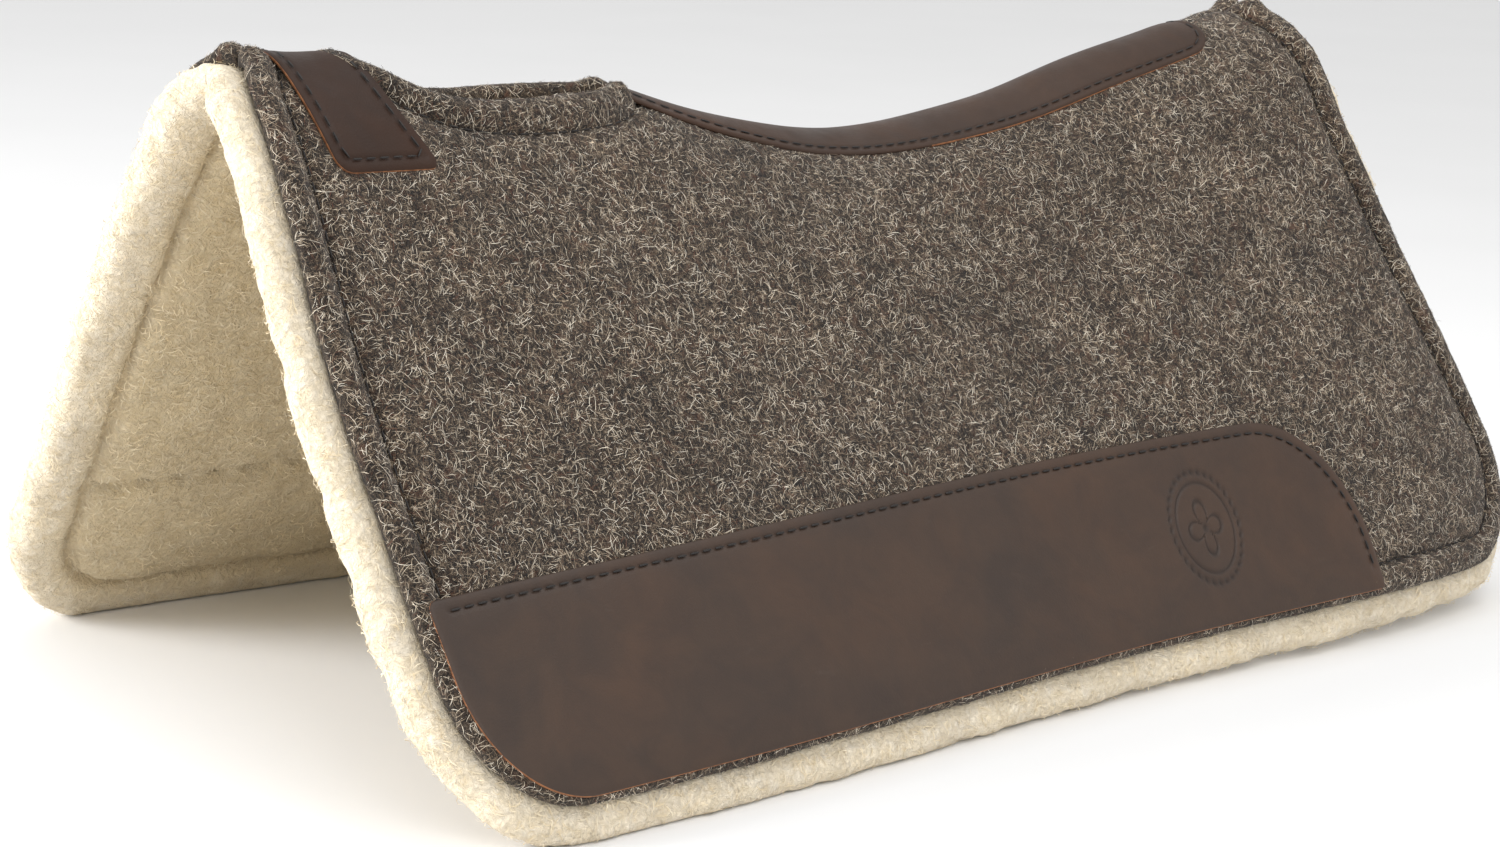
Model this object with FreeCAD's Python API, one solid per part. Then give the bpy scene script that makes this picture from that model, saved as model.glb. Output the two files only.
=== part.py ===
"""Contoured western saddle pad: felt top, hidden inserts, fleece liner, leather trim.

The pad stands on its two flaps.  X runs along the horse with the withers at -X,
Y runs across it with the left flap at -Y, and Z is up.  The origin lies on the
ground under the middle of the pad.  All lengths are in millimetres.

Every layer follows one sheet, the outer face of the felt.  A point of the sheet
is given by x and by v, the distance down the flap from the spine.  A layer lies
between two depths below the sheet, and leather has negative depths.
"""
import FreeCAD
import Part
import math
import os

os.makedirs("parts", exist_ok=True)
Vec = FreeCAD.Vector

# ---- the sheet ------------------------------------------------------------------
UNIT = 400.0                                  # x is scaled by this in the polynomials
RIDGE_POLY = (287.0, -12.0, 88.0, 65.0, -20.0, -49.0)   # height of the spine
FLAP_POLY = (58.3, 0.8, 6.4)                  # steepness of the flap, degrees
FLAP_BOW = (-0.016, 0.011)                    # change of steepness, degrees per mm of v
CREST_REACH = 31.0                            # how fast the crest turns into the flap
SWELLS = (                                    # x, half length, height of crest swellings
    (-310.0, 35.0, 9.0),                      # arch over the withers
    (-190.0, 75.0, 18.0),                     # rim round the wither opening
    (10.0, 70.0, -6.0),                       # lowest part of the seat
    (205.0, 60.0, 6.0),                       # start of the loin rise
)
SWELL_REACH = 45.0                            # a swelling fades over this much v
SHEET_X = (-425.0, 495.0)                     # ends of the untrimmed sheet
SHEET_V = 450.0                               # length of the untrimmed flap
V_STEP = 2.0
GRID_X = 36
GRID_V = 24

# ---- layers, as depths below the sheet --------------------------------------------
GAP = 0.3                                     # clearance between neighbouring layers
FELT = 8.7
INSERT = 6.7
PAD_THICKNESS = 31.0
LEATHER = 2.8
THREAD_R = 0.5
THREAD_LIFT = 0.75

# ---- outlines: (x, z, corner radius) seen from the side ------------------------------
ABOVE = 430.0                                 # a height well above the spine
FELT_OUTLINE = (
    (-366.0, ABOVE, 0.0),
    (-366.0, 347.0, 0.0),
    (-385.0, 347.0, 22.0),
    (-391.0, 215.0, 600.0),
    (-381.0, 20.0, 62.0),
    (450.0, 32.0, 54.0),
    (389.0, 195.0, 400.0),
    (366.0, 286.0, 300.0),
    (363.0, 353.0, 38.0),
    (326.0, 353.0, 0.0),
    (326.0, ABOVE, 0.0),
)
FLEECE_OUTLINE = (
    (-366.0, ABOVE, 0.0),
    (-366.0, 350.0, 0.0),
    (-400.0, 350.0, 34.0),
    (-406.0, 210.0, 600.0),
    (-396.0, 0.0, 74.0),
    (479.0, 0.0, 66.0),
    (405.0, 199.0, 400.0),
    (382.0, 286.0, 300.0),
    (379.0, 358.0, 46.0),
    (326.0, 358.0, 0.0),
    (326.0, ABOVE, 0.0),
)
WEAR_OUTLINE = (
    (-380.0, 108.5, 4.0),
    (-375.0, 21.5, 58.0),
    (274.0, 31.5, 3.0),
    (277.0, 126.5, 68.0),
)
STRAP_OUTLINE = (
    (-366.0, ABOVE, 0.0),
    (-363.0, 330.0, 80.0),
    (-354.0, 288.0, 11.0),
    (-290.0, 286.0, 4.0),
    (-316.0, 333.0, 90.0),
    (-320.0, ABOVE, 0.0),
)
# ---- outlines seen from above: (x, y, corner radius) --------------------------------
SPINE_OUTLINE = (
    (-150.0, 12.0, 5.0),
    (-150.0, -12.0, 5.0),
    (-30.0, -29.0, 260.0),
    (292.0, -29.0, 18.0),
    (292.0, 29.0, 18.0),
    (-30.0, 29.0, 260.0),
)
OPENING_X = (-318.0, -152.0)                  # ends of the wither opening in the felt
OPENING_HALF_WIDTH = 24.0
FLEECE_LIP = 6.0                              # the fleece stands this far into the opening

SEAM_GAP = 0.15                               # half the gap between the two halves
INSERT_INSET = 22.0                           # inserts stop inside the edge stitching
INSERT_FROM_SPINE = 14.0
FOLD_AXIS_Z = 275.0
FOLD_RELIEF = 12.7                            # degrees cut away below the fold axis

# ---- stitching -----------------------------------------------------------------------
STITCH_PITCH = 8.5
STITCH_LENGTH = 6.3
EDGE_INSET = 17.0                             # edge stitching to the felt's edge
LEATHER_INSET = 6.5                           # leather stitching to the leather's edge


def poly(coefficients, x):
    """A polynomial in x / UNIT."""
    return sum(c * (x / UNIT) ** i for i, c in enumerate(coefficients))


def section(x):
    """Points (v, y, z, slope) down one flap of the sheet, at x."""
    steep = poly(FLAP_POLY, x)
    bow = poly(FLAP_BOW, x)
    crest = poly(RIDGE_POLY, x)
    swell = sum(h * math.exp(-((x - c) / w) ** 2) for c, w, h in SWELLS)
    points = []
    y = 0.0
    drop = 0.0
    before = 0.0
    for i in range(int(SHEET_V / V_STEP) + 1):
        v = i * V_STEP
        angle = math.radians(steep * (1.0 - math.exp(-v / CREST_REACH)) + bow * v)
        if i:
            y += V_STEP * math.cos((angle + before) / 2)
            drop += V_STEP * math.sin((angle + before) / 2)
        before = angle
        points.append([v, y, crest - drop + swell * math.exp(-(v / SWELL_REACH) ** 2)])
    rows = []
    for i, (v, y, z) in enumerate(points):
        ahead = points[min(i + 1, len(points) - 1)]
        behind = points[max(i - 1, 0)]
        slope = 0.0
        if i:
            slope = math.atan2(behind[2] - ahead[2], ahead[1] - behind[1])
        rows.append((v, y, z, slope))
    return rows


def sunk(row, depth):
    """(y, z) of a section row, sunk below the sheet."""
    v, y, z, slope = row
    return y - depth * math.sin(slope), z - depth * math.cos(slope)


def between(a, b, t):
    return tuple(p + (q - p) * t for p, q in zip(a, b))


def seam_row(rows, depth, seam):
    """The first row whose sunk point lies outside the middle plane."""
    for a, b in zip(rows, rows[1:]):
        ya = sunk(a, depth)[0]
        yb = sunk(b, depth)[0]
        if yb > seam and yb > ya:
            return between(a, b, max(0.0, (seam - ya) / (yb - ya)))
    raise ValueError("the section never leaves the middle plane")


def row_at(rows, v):
    i = min(int(v / V_STEP), len(rows) - 2)
    return between(rows[i], rows[i + 1], v / V_STEP - i)


def column(x, depth, seam, side):
    """Points down one flap at x and depth, from the seam to the end of the sheet."""
    rows = section(x)
    start = seam_row(rows, depth, seam)[0]
    points = []
    for i in range(GRID_V):
        t = i / (GRID_V - 1.0)
        share = 0.35 * t + 0.65 * t * t
        y, z = sunk(row_at(rows, start + (SHEET_V - start) * share), depth)
        points.append(Vec(x, side * y, z))
    points[0].y = side * seam
    return points


def whole_column(x, depth):
    """Points across both flaps at x, for trim that crosses the spine."""
    right = column(x, depth, 0.0, 1.0)
    left = [Vec(p.x, -p.y, p.z) for p in reversed(right[1:])]
    return left + right


def sheet_xs():
    low, high = SHEET_X
    return [low + (high - low) * i / (GRID_X - 1.0) for i in range(GRID_X)]


def surface(columns):
    made = Part.BSplineSurface()
    made.interpolate(columns)
    return made


def slab(make_column, top, bottom):
    """The closed solid between the sheets at two depths."""
    upper = surface([make_column(x, top) for x in sheet_xs()])
    lower = surface([make_column(x, bottom) for x in sheet_xs()])
    u0, u1, v0, v1 = upper.bounds()
    lu0, lu1, lv0, lv1 = lower.bounds()
    pairs = (
        (upper.uIso(u0), lower.uIso(lu0)),
        (upper.uIso(u1), lower.uIso(lu1)),
        (upper.vIso(v0), lower.vIso(lv0)),
        (upper.vIso(v1), lower.vIso(lv1)),
    )
    faces = [upper.toShape(), lower.toShape()]
    faces += [Part.makeRuledSurface(a.toShape(), b.toShape()) for a, b in pairs]
    shell = Part.makeShell(faces)
    shell.sewShape()
    solid = Part.makeSolid(shell)
    if solid.Volume < 0:
        solid.reverse()
    return solid


def half_slab(top, bottom):
    """A layer of the left half, cut clear of the fold."""
    return slab(lambda x, depth: column(x, depth, SEAM_GAP, -1.0), top, bottom).cut(fold_relief())


def whole_slab(top, bottom):
    return slab(whole_column, top, bottom)


def fold_relief():
    """The wedge below the fold axis that lets the flaps close."""
    low = -20.0
    reach = (FOLD_AXIS_Z - low) * math.tan(math.radians(FOLD_RELIEF)) + SEAM_GAP
    x = SHEET_X[0] - 10.0
    wedge = Part.makePolygon([
        Vec(x, -SEAM_GAP, FOLD_AXIS_Z), Vec(x, -reach, low),
        Vec(x, reach, low), Vec(x, SEAM_GAP, FOLD_AXIS_Z), Vec(x, -SEAM_GAP, FOLD_AXIS_Z),
    ])
    return Part.Face(wedge).extrude(Vec(SHEET_X[1] - SHEET_X[0] + 20.0, 0, 0))


def rounded(outline, place):
    """A closed wire through the outline's corners, each rounded with its radius."""
    corners = [(place(a, b), r) for a, b, r in outline]
    count = len(corners)
    cuts = []
    for i, (p, r) in enumerate(corners):
        before = (corners[i - 1][0] - p).normalize()
        after = (corners[(i + 1) % count][0] - p).normalize()
        if r == 0.0:
            cuts.append((p, None, p))
            continue
        half = before.getAngle(after) / 2
        run = r / math.tan(half)
        middle = (before + after).normalize()
        top = p + middle * (r / math.sin(half) - r)
        cuts.append((p + before * run, top, p + after * run))
    edges = []
    for i, (start, top, end) in enumerate(cuts):
        if top is not None:
            edges.append(Part.Arc(start, top, end).toShape())
        following = cuts[(i + 1) % count][0]
        if end.distanceToPoint(following) > 1e-6:
            edges.append(Part.makeLine(end, following))
    return Part.Wire(edges)


def side_wire(outline):
    return rounded(outline, lambda x, z: Vec(x, 0, z))


def side_prism(wire):
    """Everything inside a wire seen from the side."""
    reach = 600.0
    face = Part.Face(wire)
    face.translate(Vec(0, -reach, 0))
    return face.extrude(Vec(0, 2 * reach, 0))


def top_prism(wire):
    return Part.Face(wire).extrude(Vec(0, 0, ABOVE + 100.0))


def opening(grow):
    """The wither opening, a long ellipse seen from above."""
    length = (OPENING_X[1] - OPENING_X[0]) / 2 + grow
    ellipse = Part.Ellipse(Vec((OPENING_X[0] + OPENING_X[1]) / 2, 0, 0), length,
                           OPENING_HALF_WIDTH + grow)
    wire = Part.Wire([ellipse.toShape()])
    return top_prism(wire)


def beside_spine(reach):
    """A block over the spine, cut out of pieces that stop short of it."""
    return Part.makeBox(1000.0, 2 * reach, ABOVE + 100.0, Vec(-500.0, -reach, 0))


# ---- the pieces of the left half ----------------------------------------------------------
def make_felt():
    blank = half_slab(0.0, FELT)
    return blank.common(side_prism(side_wire(FELT_OUTLINE))).cut(opening(0.0))


def make_insert(clearance):
    blank = half_slab(FELT + GAP - clearance, FELT + GAP + INSERT + clearance)
    inset = side_wire(FELT_OUTLINE).makeOffset2D(clearance - INSERT_INSET)
    body = blank.common(side_prism(inset)).cut(opening(INSERT_INSET - clearance))
    return body.cut(beside_spine(INSERT_FROM_SPINE - clearance))


def make_fleece():
    blank = half_slab(FELT + GAP, PAD_THICKNESS)
    trimmed = blank.common(side_prism(side_wire(FLEECE_OUTLINE))).cut(opening(-FLEECE_LIP))
    return trimmed.cut(make_insert(GAP))


def make_wear_leather():
    blank = half_slab(-GAP - LEATHER, -GAP)
    return blank.common(side_prism(side_wire(WEAR_OUTLINE)))


# ---- the pieces that cross the spine ---------------------------------------------------------
def make_strap():
    return whole_slab(-GAP - LEATHER, -GAP).common(side_prism(side_wire(STRAP_OUTLINE)))


def make_spine():
    wire = rounded(SPINE_OUTLINE, lambda x, y: Vec(x, y, 0))
    return whole_slab(-GAP - LEATHER, -GAP).common(top_prism(wire))


# ---- stitching ----------------------------------------------------------------------------------
def on_sheet(point, depth, seen):
    """The point of the left half below a point of a side or top view, and its height there."""
    rows = section(point.x)
    for a, b in zip(rows, rows[1:]):
        pa = sunk(a, depth)
        pb = sunk(b, depth)
        if seen == "side" and pb[1] <= point.z <= pa[1]:
            t = (pa[1] - point.z) / (pa[1] - pb[1])
            return Vec(point.x, -(pa[0] + (pb[0] - pa[0]) * t), point.z)
        if seen == "top" and pa[0] <= abs(point.y) <= pb[0]:
            t = (abs(point.y) - pa[0]) / (pb[0] - pa[0])
            return Vec(point.x, -abs(point.y), pa[1] + (pb[1] - pa[1]) * t)
    return None


def threads(wire, depth, seen, wanted):
    """Short lengths of thread along a seam, as one compound of separate solids."""
    count = int(wire.Length * 1.3 / 2.0)
    path = [on_sheet(p, depth, seen) for p in wire.discretize(Number=count)]
    stitches = []
    travelled = 0.0
    start = None
    for a, b in zip(path, path[1:]):
        if a is None or b is None or not wanted(a):
            start = None
            travelled = 0.0
            continue
        if start is None:
            start = a
        travelled += a.distanceToPoint(b)
        if travelled >= STITCH_PITCH:
            heading = (b - start).normalize()
            stitches.append(Part.makeCylinder(THREAD_R, STITCH_LENGTH, start, heading))
            start = b
            travelled = 0.0
    return Part.makeCompound(stitches)


def thread_depth(surface_depth):
    return surface_depth - THREAD_LIFT - THREAD_R


def make_edge_stitching():
    inset = side_wire(FELT_OUTLINE).makeOffset2D(-EDGE_INSET)
    return threads(inset, thread_depth(0.0), "side", edge_is_bare)


def edge_is_bare(p):
    """True where the edge seam isn't under the leather or too near the spine."""
    under_wear = p.z < 120.0 and p.x < 285.0
    under_strap = p.x < -280.0 and p.z > 280.0
    return not under_wear and not under_strap and p.y < -INSERT_FROM_SPINE


def make_wear_stitching():
    inset = side_wire(WEAR_OUTLINE).makeOffset2D(-LEATHER_INSET)

    def top_or_rear(p):
        return p.z > 100.0 or p.x > 240.0

    return threads(inset, thread_depth(-GAP - LEATHER), "side", top_or_rear)


def make_strap_stitching():
    inset = side_wire(STRAP_OUTLINE).makeOffset2D(-LEATHER_INSET)
    return threads(inset, thread_depth(-GAP - LEATHER), "side", lambda p: p.y < -8.0)


def make_spine_stitching():
    wire = rounded(SPINE_OUTLINE, lambda x, y: Vec(x, y, 0)).makeOffset2D(-6.0)
    half = [e for e in wire.Edges if e.CenterOfMass.y < -1.0]
    left = Part.Wire(Part.__sortEdges__(half))
    return threads(left, thread_depth(-GAP - LEATHER), "top", lambda p: p.y < -3.0)


def shifted(shape):
    moved = shape.copy()
    moved.translate(Vec(ORIGIN_SHIFT, 0, 0))
    return moved


def save(name, shape):
    shifted(shape).exportStep("parts/%s.step" % name)
    box = shifted(shape).optimalBoundingBox(True, False)
    print("%-34s solids %3d  volume %10.0f  x %7.1f %7.1f  y %7.1f %7.1f  z %6.1f %6.1f" % (
        name, len(shape.Solids), shape.Volume, box.XMin, box.XMax, box.YMin, box.YMax,
        box.ZMin, box.ZMax), "" if shape.isValid() else "INVALID")


def save_pair(name, left):
    save(name + "_left", left)
    save(name + "_right", left.mirror(Vec(0, 0, 0), Vec(0, 1, 0)))


fleece = make_fleece()
extent = fleece.optimalBoundingBox(True, False)
ORIGIN_SHIFT = -(extent.XMin + extent.XMax) / 2
save_pair("fleece_liner", fleece)
save_pair("felt_insert", make_insert(0.0))
save_pair("felt_top", make_felt())
save_pair("wear_leather", make_wear_leather())
save("wither_leather", make_strap())
save("spine_leather", make_spine())
save_pair("edge_stitching", make_edge_stitching())
save_pair("wear_leather_stitching", make_wear_stitching())
save_pair("wither_leather_stitching", make_strap_stitching())
save_pair("spine_leather_stitching", make_spine_stitching())
print("origin shift", ORIGIN_SHIFT)
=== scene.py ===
"""Looks of the contoured western saddle pad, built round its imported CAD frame.

Shapes are worked out in millimetres on the same sheet as the CAD part: a point is
given by x and by v, the distance down a flap from the spine, and a depth below the
felt's outer face.  Meshes are written in metres.
"""
import math

import bmesh
import bpy
import numpy as np
from mathutils import Matrix, Vector, kdtree, noise
from mathutils.geometry import delaunay_2d_cdt


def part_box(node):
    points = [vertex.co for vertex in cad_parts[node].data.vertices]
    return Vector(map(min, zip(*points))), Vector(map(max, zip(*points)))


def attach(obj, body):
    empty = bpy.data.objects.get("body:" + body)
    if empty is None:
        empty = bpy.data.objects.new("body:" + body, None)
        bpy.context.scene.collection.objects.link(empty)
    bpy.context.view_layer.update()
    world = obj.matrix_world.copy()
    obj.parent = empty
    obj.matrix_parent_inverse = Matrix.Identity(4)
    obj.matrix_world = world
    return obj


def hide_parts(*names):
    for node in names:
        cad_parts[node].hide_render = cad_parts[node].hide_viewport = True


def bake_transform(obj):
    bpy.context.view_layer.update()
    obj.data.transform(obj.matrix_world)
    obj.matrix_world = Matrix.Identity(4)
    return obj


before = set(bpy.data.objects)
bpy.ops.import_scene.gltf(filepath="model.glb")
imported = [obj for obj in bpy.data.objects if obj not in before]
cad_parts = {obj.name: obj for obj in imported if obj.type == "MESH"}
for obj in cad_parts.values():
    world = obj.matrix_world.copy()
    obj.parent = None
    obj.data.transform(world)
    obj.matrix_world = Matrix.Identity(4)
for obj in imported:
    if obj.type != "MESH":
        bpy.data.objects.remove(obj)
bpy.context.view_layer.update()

MM = 0.001

# ---- the sheet, in millimetres ---------------------------------------------------------------
# The ridge's height and the flap's steepness and bow are polynomials in x / UNIT.
# A swell is (centre x, half width, height) of a rise along the ridge.
# An outline corner is (x, z, radius) in the side view, or (x, v, radius) for the spine
# strip; ABOVE is clear of the pad's highest point.
UNIT = 400.0
RIDGE_POLY = (287.0, -12.0, 88.0, 65.0, -20.0, -49.0)
FLAP_POLY = (58.3, 0.8, 6.4)
FLAP_BOW = (-0.016, 0.011)
CREST_REACH = 31.0
SWELLS = ((-310.0, 35.0, 9.0), (-190.0, 75.0, 18.0), (10.0, 70.0, -6.0), (205.0, 60.0, 6.0))
SWELL_REACH = 45.0
START_FADE = 120.0          # v over which deep layers, pushed off the middle plane, settle
ABOVE = 430.0
FELT_OUTLINE = (
    (-366.0, ABOVE, 0.0), (-366.0, 347.0, 0.0), (-385.0, 347.0, 22.0),
    (-391.0, 215.0, 600.0), (-381.0, 20.0, 62.0), (450.0, 32.0, 54.0),
    (389.0, 195.0, 400.0), (366.0, 286.0, 300.0), (363.0, 353.0, 38.0),
    (326.0, 353.0, 0.0), (326.0, ABOVE, 0.0),
)
WEAR_OUTLINE = (
    (-380.0, 108.5, 4.0), (-375.0, 21.5, 58.0), (274.0, 31.5, 3.0), (277.0, 126.5, 68.0),
)
STRAP_OUTLINE = (
    (-366.0, ABOVE, 0.0), (-363.0, 330.0, 80.0), (-354.0, 288.0, 11.0),
    (-290.0, 286.0, 4.0), (-316.0, 333.0, 90.0), (-320.0, ABOVE, 0.0),
)
SPINE_OUTLINE = (
    (-150.0, 12.0, 5.0), (-150.0, -12.0, 5.0), (-30.0, -29.0, 260.0),
    (292.0, -29.0, 18.0), (292.0, 29.0, 18.0), (-30.0, 29.0, 260.0),
)
OPENING_X = (-318.0, -152.0)
OPENING_HALF_WIDTH = 24.0
FLEECE_FRONT_X = -405.4     # the fleece's foremost point, on the sheet's own x
ORIGIN_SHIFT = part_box("fleece_liner_left")[0].x / MM - FLEECE_FRONT_X

# ---- layers, as thicknesses and as distances from the felt's outline -------------------------
FELT = 8.7
PAD_THICKNESS = 31.0
LEATHER = 2.8
FELT_ROLL = 3.2             # how far the felt's cut edge bulges
FLEECE_ROLL = 10.5          # how far the fleece's rolled rim bulges
FLEECE_LIP = 5.0            # how far the fleece runs past the felt before its rim
RIM_CLEAR = 4.5             # the fleece's edge inside the wither opening
GROOVE_INSET = 17.0         # the edge seam
INSERT_INSET = 22.0         # the core's edge
WEAR_INSET = 6.5            # the wear leather's and the strap's seams
SPINE_INSET = 5.0           # the spine strip's seam
CUT_BACK = 0.7              # a leather's rounded edge
STRIP_LIFT = 0.8            # the strap and the spine strip lie on the felt's fibres
WEAR_LIFT = 0.2

SEED = 7


def poly(coefficients, x):
    """A polynomial in x / UNIT."""
    return sum(c * (x / UNIT) ** i for i, c in enumerate(coefficients))


class Sheet:
    """The sheet as a table over x and v, with linear lookup."""

    def __init__(self):
        self.x0, self.dx, self.dv, self.dd = -470.0, 4.0, 2.0, 2.0
        xs = self.x0 + self.dx * np.arange(255)
        vs = self.dv * np.arange(246)
        x = xs[:, None] + 0 * vs
        v = vs[None, :] + 0 * x
        steep = poly(FLAP_POLY, x) * (1 - np.exp(-v / CREST_REACH))
        angle = np.radians(steep + poly(FLAP_BOW, x) * v)
        mid = (angle[:, 1:] + angle[:, :-1]) / 2
        zero = np.zeros((len(xs), 1))
        y = np.concatenate([zero, np.cumsum(np.cos(mid) * self.dv, 1)], 1)
        drop = np.concatenate([zero, np.cumsum(np.sin(mid) * self.dv, 1)], 1)
        swell = sum(h * np.exp(-((x - c) / w) ** 2) for c, w, h in SWELLS)
        z = poly(RIDGE_POLY, x) - drop + swell * np.exp(-(v / SWELL_REACH) ** 2)
        slope = np.zeros_like(z)
        slope[:, 1:-1] = np.arctan2(z[:, :-2] - z[:, 2:], y[:, 2:] - y[:, :-2])
        slope[:, -1] = slope[:, -2]
        self.xs, self.vs, self.y, self.z, self.slope = xs, vs, y, z, slope
        # How far down v each depth's layer first leaves the middle plane.
        self.depths = np.arange(0.0, 42.0, self.dd)
        self.starts = np.zeros((len(xs), len(self.depths)))
        for k, d in enumerate(self.depths):
            out = y - d * np.sin(slope)
            first = np.argmax((out > 0) & (np.diff(out, append=out[:, -1:] + 1) > 0), axis=1)
            self.starts[:, k] = vs[np.maximum(first - 1, 0)]
        self.starts[:, 0] = 0.0

    def look(self, table, x, other, pitch=None):
        """The table's value at x and at v, or at a depth where pitch says so."""
        a = np.clip((x - self.x0) / self.dx, 0, table.shape[0] - 1.001)
        b = np.clip(other / (pitch or self.dv), 0, table.shape[1] - 1.001)
        i, j = a.astype(int), b.astype(int)
        fa, fb = a - i, b - j
        top = table[i, j] * (1 - fb) + table[i, j + 1] * fb
        low = table[i + 1, j] * (1 - fb) + table[i + 1, j + 1] * fb
        return top * (1 - fa) + low * fa

    def place(self, x, v, depth, side):
        """Points in metres, in the frame, at x, v (negative across the spine) and depth."""
        x, v, depth = np.broadcast_arrays(np.asarray(x, float), v, depth)
        across = np.abs(v)
        pushed = self.look(self.starts, x, depth, self.dd) * np.clip(1 - across / START_FADE, 0, 1)
        y = self.look(self.y, x, across + pushed)
        z = self.look(self.z, x, across + pushed)
        s = self.look(self.slope, x, across + pushed)
        y = np.maximum(y - depth * np.sin(s), 0)
        z = np.maximum(z - depth * np.cos(s), 0)
        sign = np.where(v < 0, -side, side)
        return np.stack([(x + ORIGIN_SHIFT) * MM, sign * y * MM, z * MM], -1)

    def v_at(self, x, z):
        """v of side-view points (x, z) on the flap."""
        out = np.zeros(len(x))
        for n, (a, b) in enumerate(zip(x, z)):
            i = int(np.clip(round((a - self.x0) / self.dx), 0, len(self.xs) - 1))
            f = (a - self.xs[i]) / self.dx
            j = int(np.clip(i + (1 if f > 0 else -1), 0, len(self.xs) - 1))
            row = self.z[i] * (1 - abs(f)) + self.z[j] * abs(f)
            k = int(np.argmax(row))
            out[n] = np.interp(-b, -row[k:], self.vs[k:])
        return out


SHEET = Sheet()


# ---- outlines --------------------------------------------------------------------------------
def rounded(outline, step=2.0):
    """Points along a closed outline of (a, b, radius) corners."""
    pts = np.array([(a, b) for a, b, r in outline])
    out = []
    count = len(pts)
    for i, (a, b, r) in enumerate(outline):
        p = pts[i]
        before = pts[i - 1] - p
        after = pts[(i + 1) % count] - p
        before /= np.linalg.norm(before)
        after /= np.linalg.norm(after)
        if r == 0:
            out.append(p)
            continue
        half = math.acos(np.clip(before @ after, -1, 1)) / 2
        middle = (before + after) / np.linalg.norm(before + after)
        centre = p + middle * r / math.sin(half)
        start = p + before * r / math.tan(half) - centre
        end = p + after * r / math.tan(half) - centre
        turn = math.atan2(start[0] * end[1] - start[1] * end[0], start @ end)
        n = max(2, int(abs(turn) * r / step) + 1)
        for k in range(n + 1):
            t = turn * k / n
            c, s = math.cos(t), math.sin(t)
            spun = [start[0] * c - start[1] * s, start[0] * s + start[1] * c]
            out.append(centre + np.array(spun))
    return resample(np.array(out + [out[0]]), step)[:-1]


def resample(points, step):
    """An open path at even steps."""
    gaps = np.hypot(*np.diff(points, axis=0).T)
    along = np.concatenate([[0], np.cumsum(gaps)])
    n = max(2, int(round(along[-1] / step)))
    t = np.linspace(0, along[-1], n + 1)
    return np.stack([np.interp(t, along, points[:, 0]), np.interp(t, along, points[:, 1])], 1)


def side_to_sheet(points):
    """Side-view points (x, z) as (x, v)."""
    return np.stack([points[:, 0], SHEET.v_at(points[:, 0], points[:, 1])], 1)


def unit(vectors):
    return vectors / np.maximum(np.linalg.norm(vectors, axis=1), 1e-9)[:, None]


def offset(path, distance):
    """An open path moved sideways, to its left for a positive distance."""
    d = np.gradient(path, axis=0)
    return path + unit(np.stack([-d[:, 1], d[:, 0]], 1)) * distance


def grid_over(low, high, pitch):
    """An even grid of points between two corners."""
    a, b = np.meshgrid(np.arange(low[0], high[0], pitch), np.arange(low[1], high[1], pitch))
    return np.stack([a.ravel(), b.ravel()], 1)


def below_ridge(outline):
    """The part of a side-view outline that lies on a flap, as (x, v) from front to rear."""
    side = rounded(outline, 1.0)
    ridge = SHEET.look(SHEET.z, side[:, 0], np.zeros(len(side)))
    below = side[:, 1] < ridge - 0.4
    first = int(np.argmax(below & ~np.roll(below, 1)))
    order = np.roll(np.arange(len(side)), -first)
    run = side_to_sheet(side[order[below[order]]])
    run[0, 1] = 0.0
    run[-1, 1] = 0.0
    return run[::-1] if run[0, 0] > run[-1, 0] else run


def outer_run(proud, step):
    """The pad's edge from the spine down the front, along the hem and up the rear, in (x, v)."""
    smooth = resample(below_ridge(FELT_OUTLINE), 2.0)
    for _ in range(6):
        smooth[1:-1] = (smooth[:-2] + 2 * smooth[1:-1] + smooth[2:]) / 4
    run = offset(smooth, proud) if proud else smooth
    run = run[run[:, 1] > 0.8]
    return resample(np.concatenate([[[run[0, 0], 0.0]], run, [[run[-1, 0], 0.0]]]), step)


def opening_run(grow, step):
    """The rim of the wither opening, from its rear end to its front end, in (x, v)."""
    centre = (OPENING_X[0] + OPENING_X[1]) / 2
    a = (OPENING_X[1] - OPENING_X[0]) / 2 + grow
    b = OPENING_HALF_WIDTH + grow
    t = np.linspace(0, math.pi, 120)
    return resample(np.stack([centre + a * np.cos(t), b * np.sin(t)], 1), step)


def half_boundary(proud, rim_grow, step=3.0, taper=7.0):
    """The closed edge of one half in (x, v), and how much of a real edge each point is."""
    outer = outer_run(proud, step)
    rim = opening_run(rim_grow, step)
    seam_rear = resample(np.array([outer[-1], rim[0]]), 5.0)[1:-1]
    seam_front = resample(np.array([rim[-1], outer[0]]), 5.0)[1:-1]
    points = np.concatenate([outer, seam_rear, rim, seam_front])
    real = np.concatenate([np.ones(len(outer)), np.zeros(len(seam_rear)),
                           np.ones(len(rim)), np.zeros(len(seam_front))])
    if taper:
        real = real * np.clip(points[:, 1] / taper, 0, 1)
    return points, real


def inside(points, polygon):
    """Which points lie in a closed polygon."""
    a, b = polygon, np.roll(polygon, -1, 0)
    rise = np.where(b[:, 1] == a[:, 1], 1e-9, b[:, 1] - a[:, 1])
    out = np.zeros(len(points), bool)
    for low in range(0, len(points), 2000):
        x, y = points[low:low + 2000, 0][:, None], points[low:low + 2000, 1][:, None]
        cross = (a[:, 1] > y) != (b[:, 1] > y)
        at = (b[:, 0] - a[:, 0]) * (y - a[:, 1]) / rise + a[:, 0]
        out[low:low + 2000] = np.sum(cross & (x < at), axis=1) % 2 == 1
    return out


def nearest(points, targets):
    """Each point's distance to the closest target."""
    tree = kdtree.KDTree(len(targets))
    for i, p in enumerate(targets):
        tree.insert((p[0], p[1], 0), i)
    tree.balance()
    return np.array([tree.find((p[0], p[1], 0))[2] for p in points])


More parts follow.
